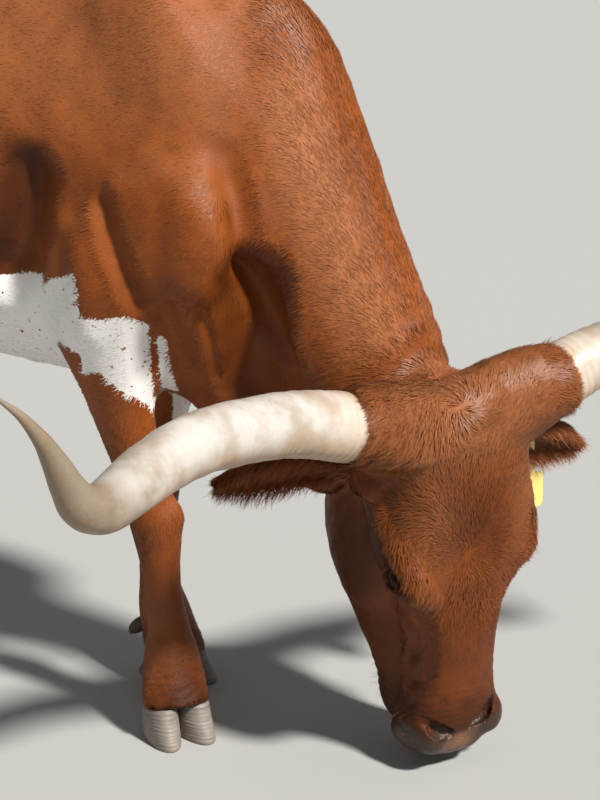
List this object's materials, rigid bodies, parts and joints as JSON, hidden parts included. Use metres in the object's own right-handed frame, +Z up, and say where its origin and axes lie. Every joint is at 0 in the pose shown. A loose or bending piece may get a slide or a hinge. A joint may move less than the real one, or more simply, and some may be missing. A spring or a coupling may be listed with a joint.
{
  "type": "grazing longhorn steer",
  "caption": "A life-size longhorn steer that grazes with its muzzle to the ground: red-brown coat, white belly and foreleg patch, wide pale horns turned up at the tips.",
  "frame": {"origin": "bottom centre of the overall box, on the floor under the animal", "axes": "+X the way the animal faces, +Y to its left, +Z up"},
  "size_m": [2.5684, 1.626, 1.3871],
  "materials": {
    "coat": "short glossy red-brown hair, white under the belly and on one foreleg",
    "horn": "smooth pale horn, browner toward the tips",
    "hoof": "grey hoof with fine level rings",
    "eye": "wet dark eye",
    "switch_hair": "long dark red-brown hair",
    "tag": "plain yellow plastic, blank"
  },
  "bodies": {
    "root": {"claw_front_left_left": "hoof", "claw_front_left_right": "hoof", "claw_front_right_left": "hoof", "claw_front_right_right": "hoof", "claw_hind_left_left": "hoof", "claw_hind_left_right": "hoof", "claw_hind_right_left": "hoof", "claw_hind_right_right": "hoof", "dewclaw_front_left_left": "hoof", "dewclaw_front_left_right": "hoof", "dewclaw_front_right_left": "hoof", "dewclaw_front_right_right": "hoof", "dewclaw_hind_left_left": "hoof", "dewclaw_hind_left_right": "hoof", "dewclaw_hind_right_left": "hoof", "dewclaw_hind_right_right": "hoof", "ear_left": "coat", "ear_right": "coat", "ear_tag": "tag", "eye_left": "eye", "eye_right": "eye", "head": "coat", "horn_left": "horn", "horn_right": "horn", "leg_front_left": "coat", "leg_front_right": "coat", "leg_hind_left": "coat", "leg_hind_right": "coat", "neck": "coat", "tail": "coat", "tail_switch": "switch_hair", "torso": "coat"}
  },
  "joints": []
}
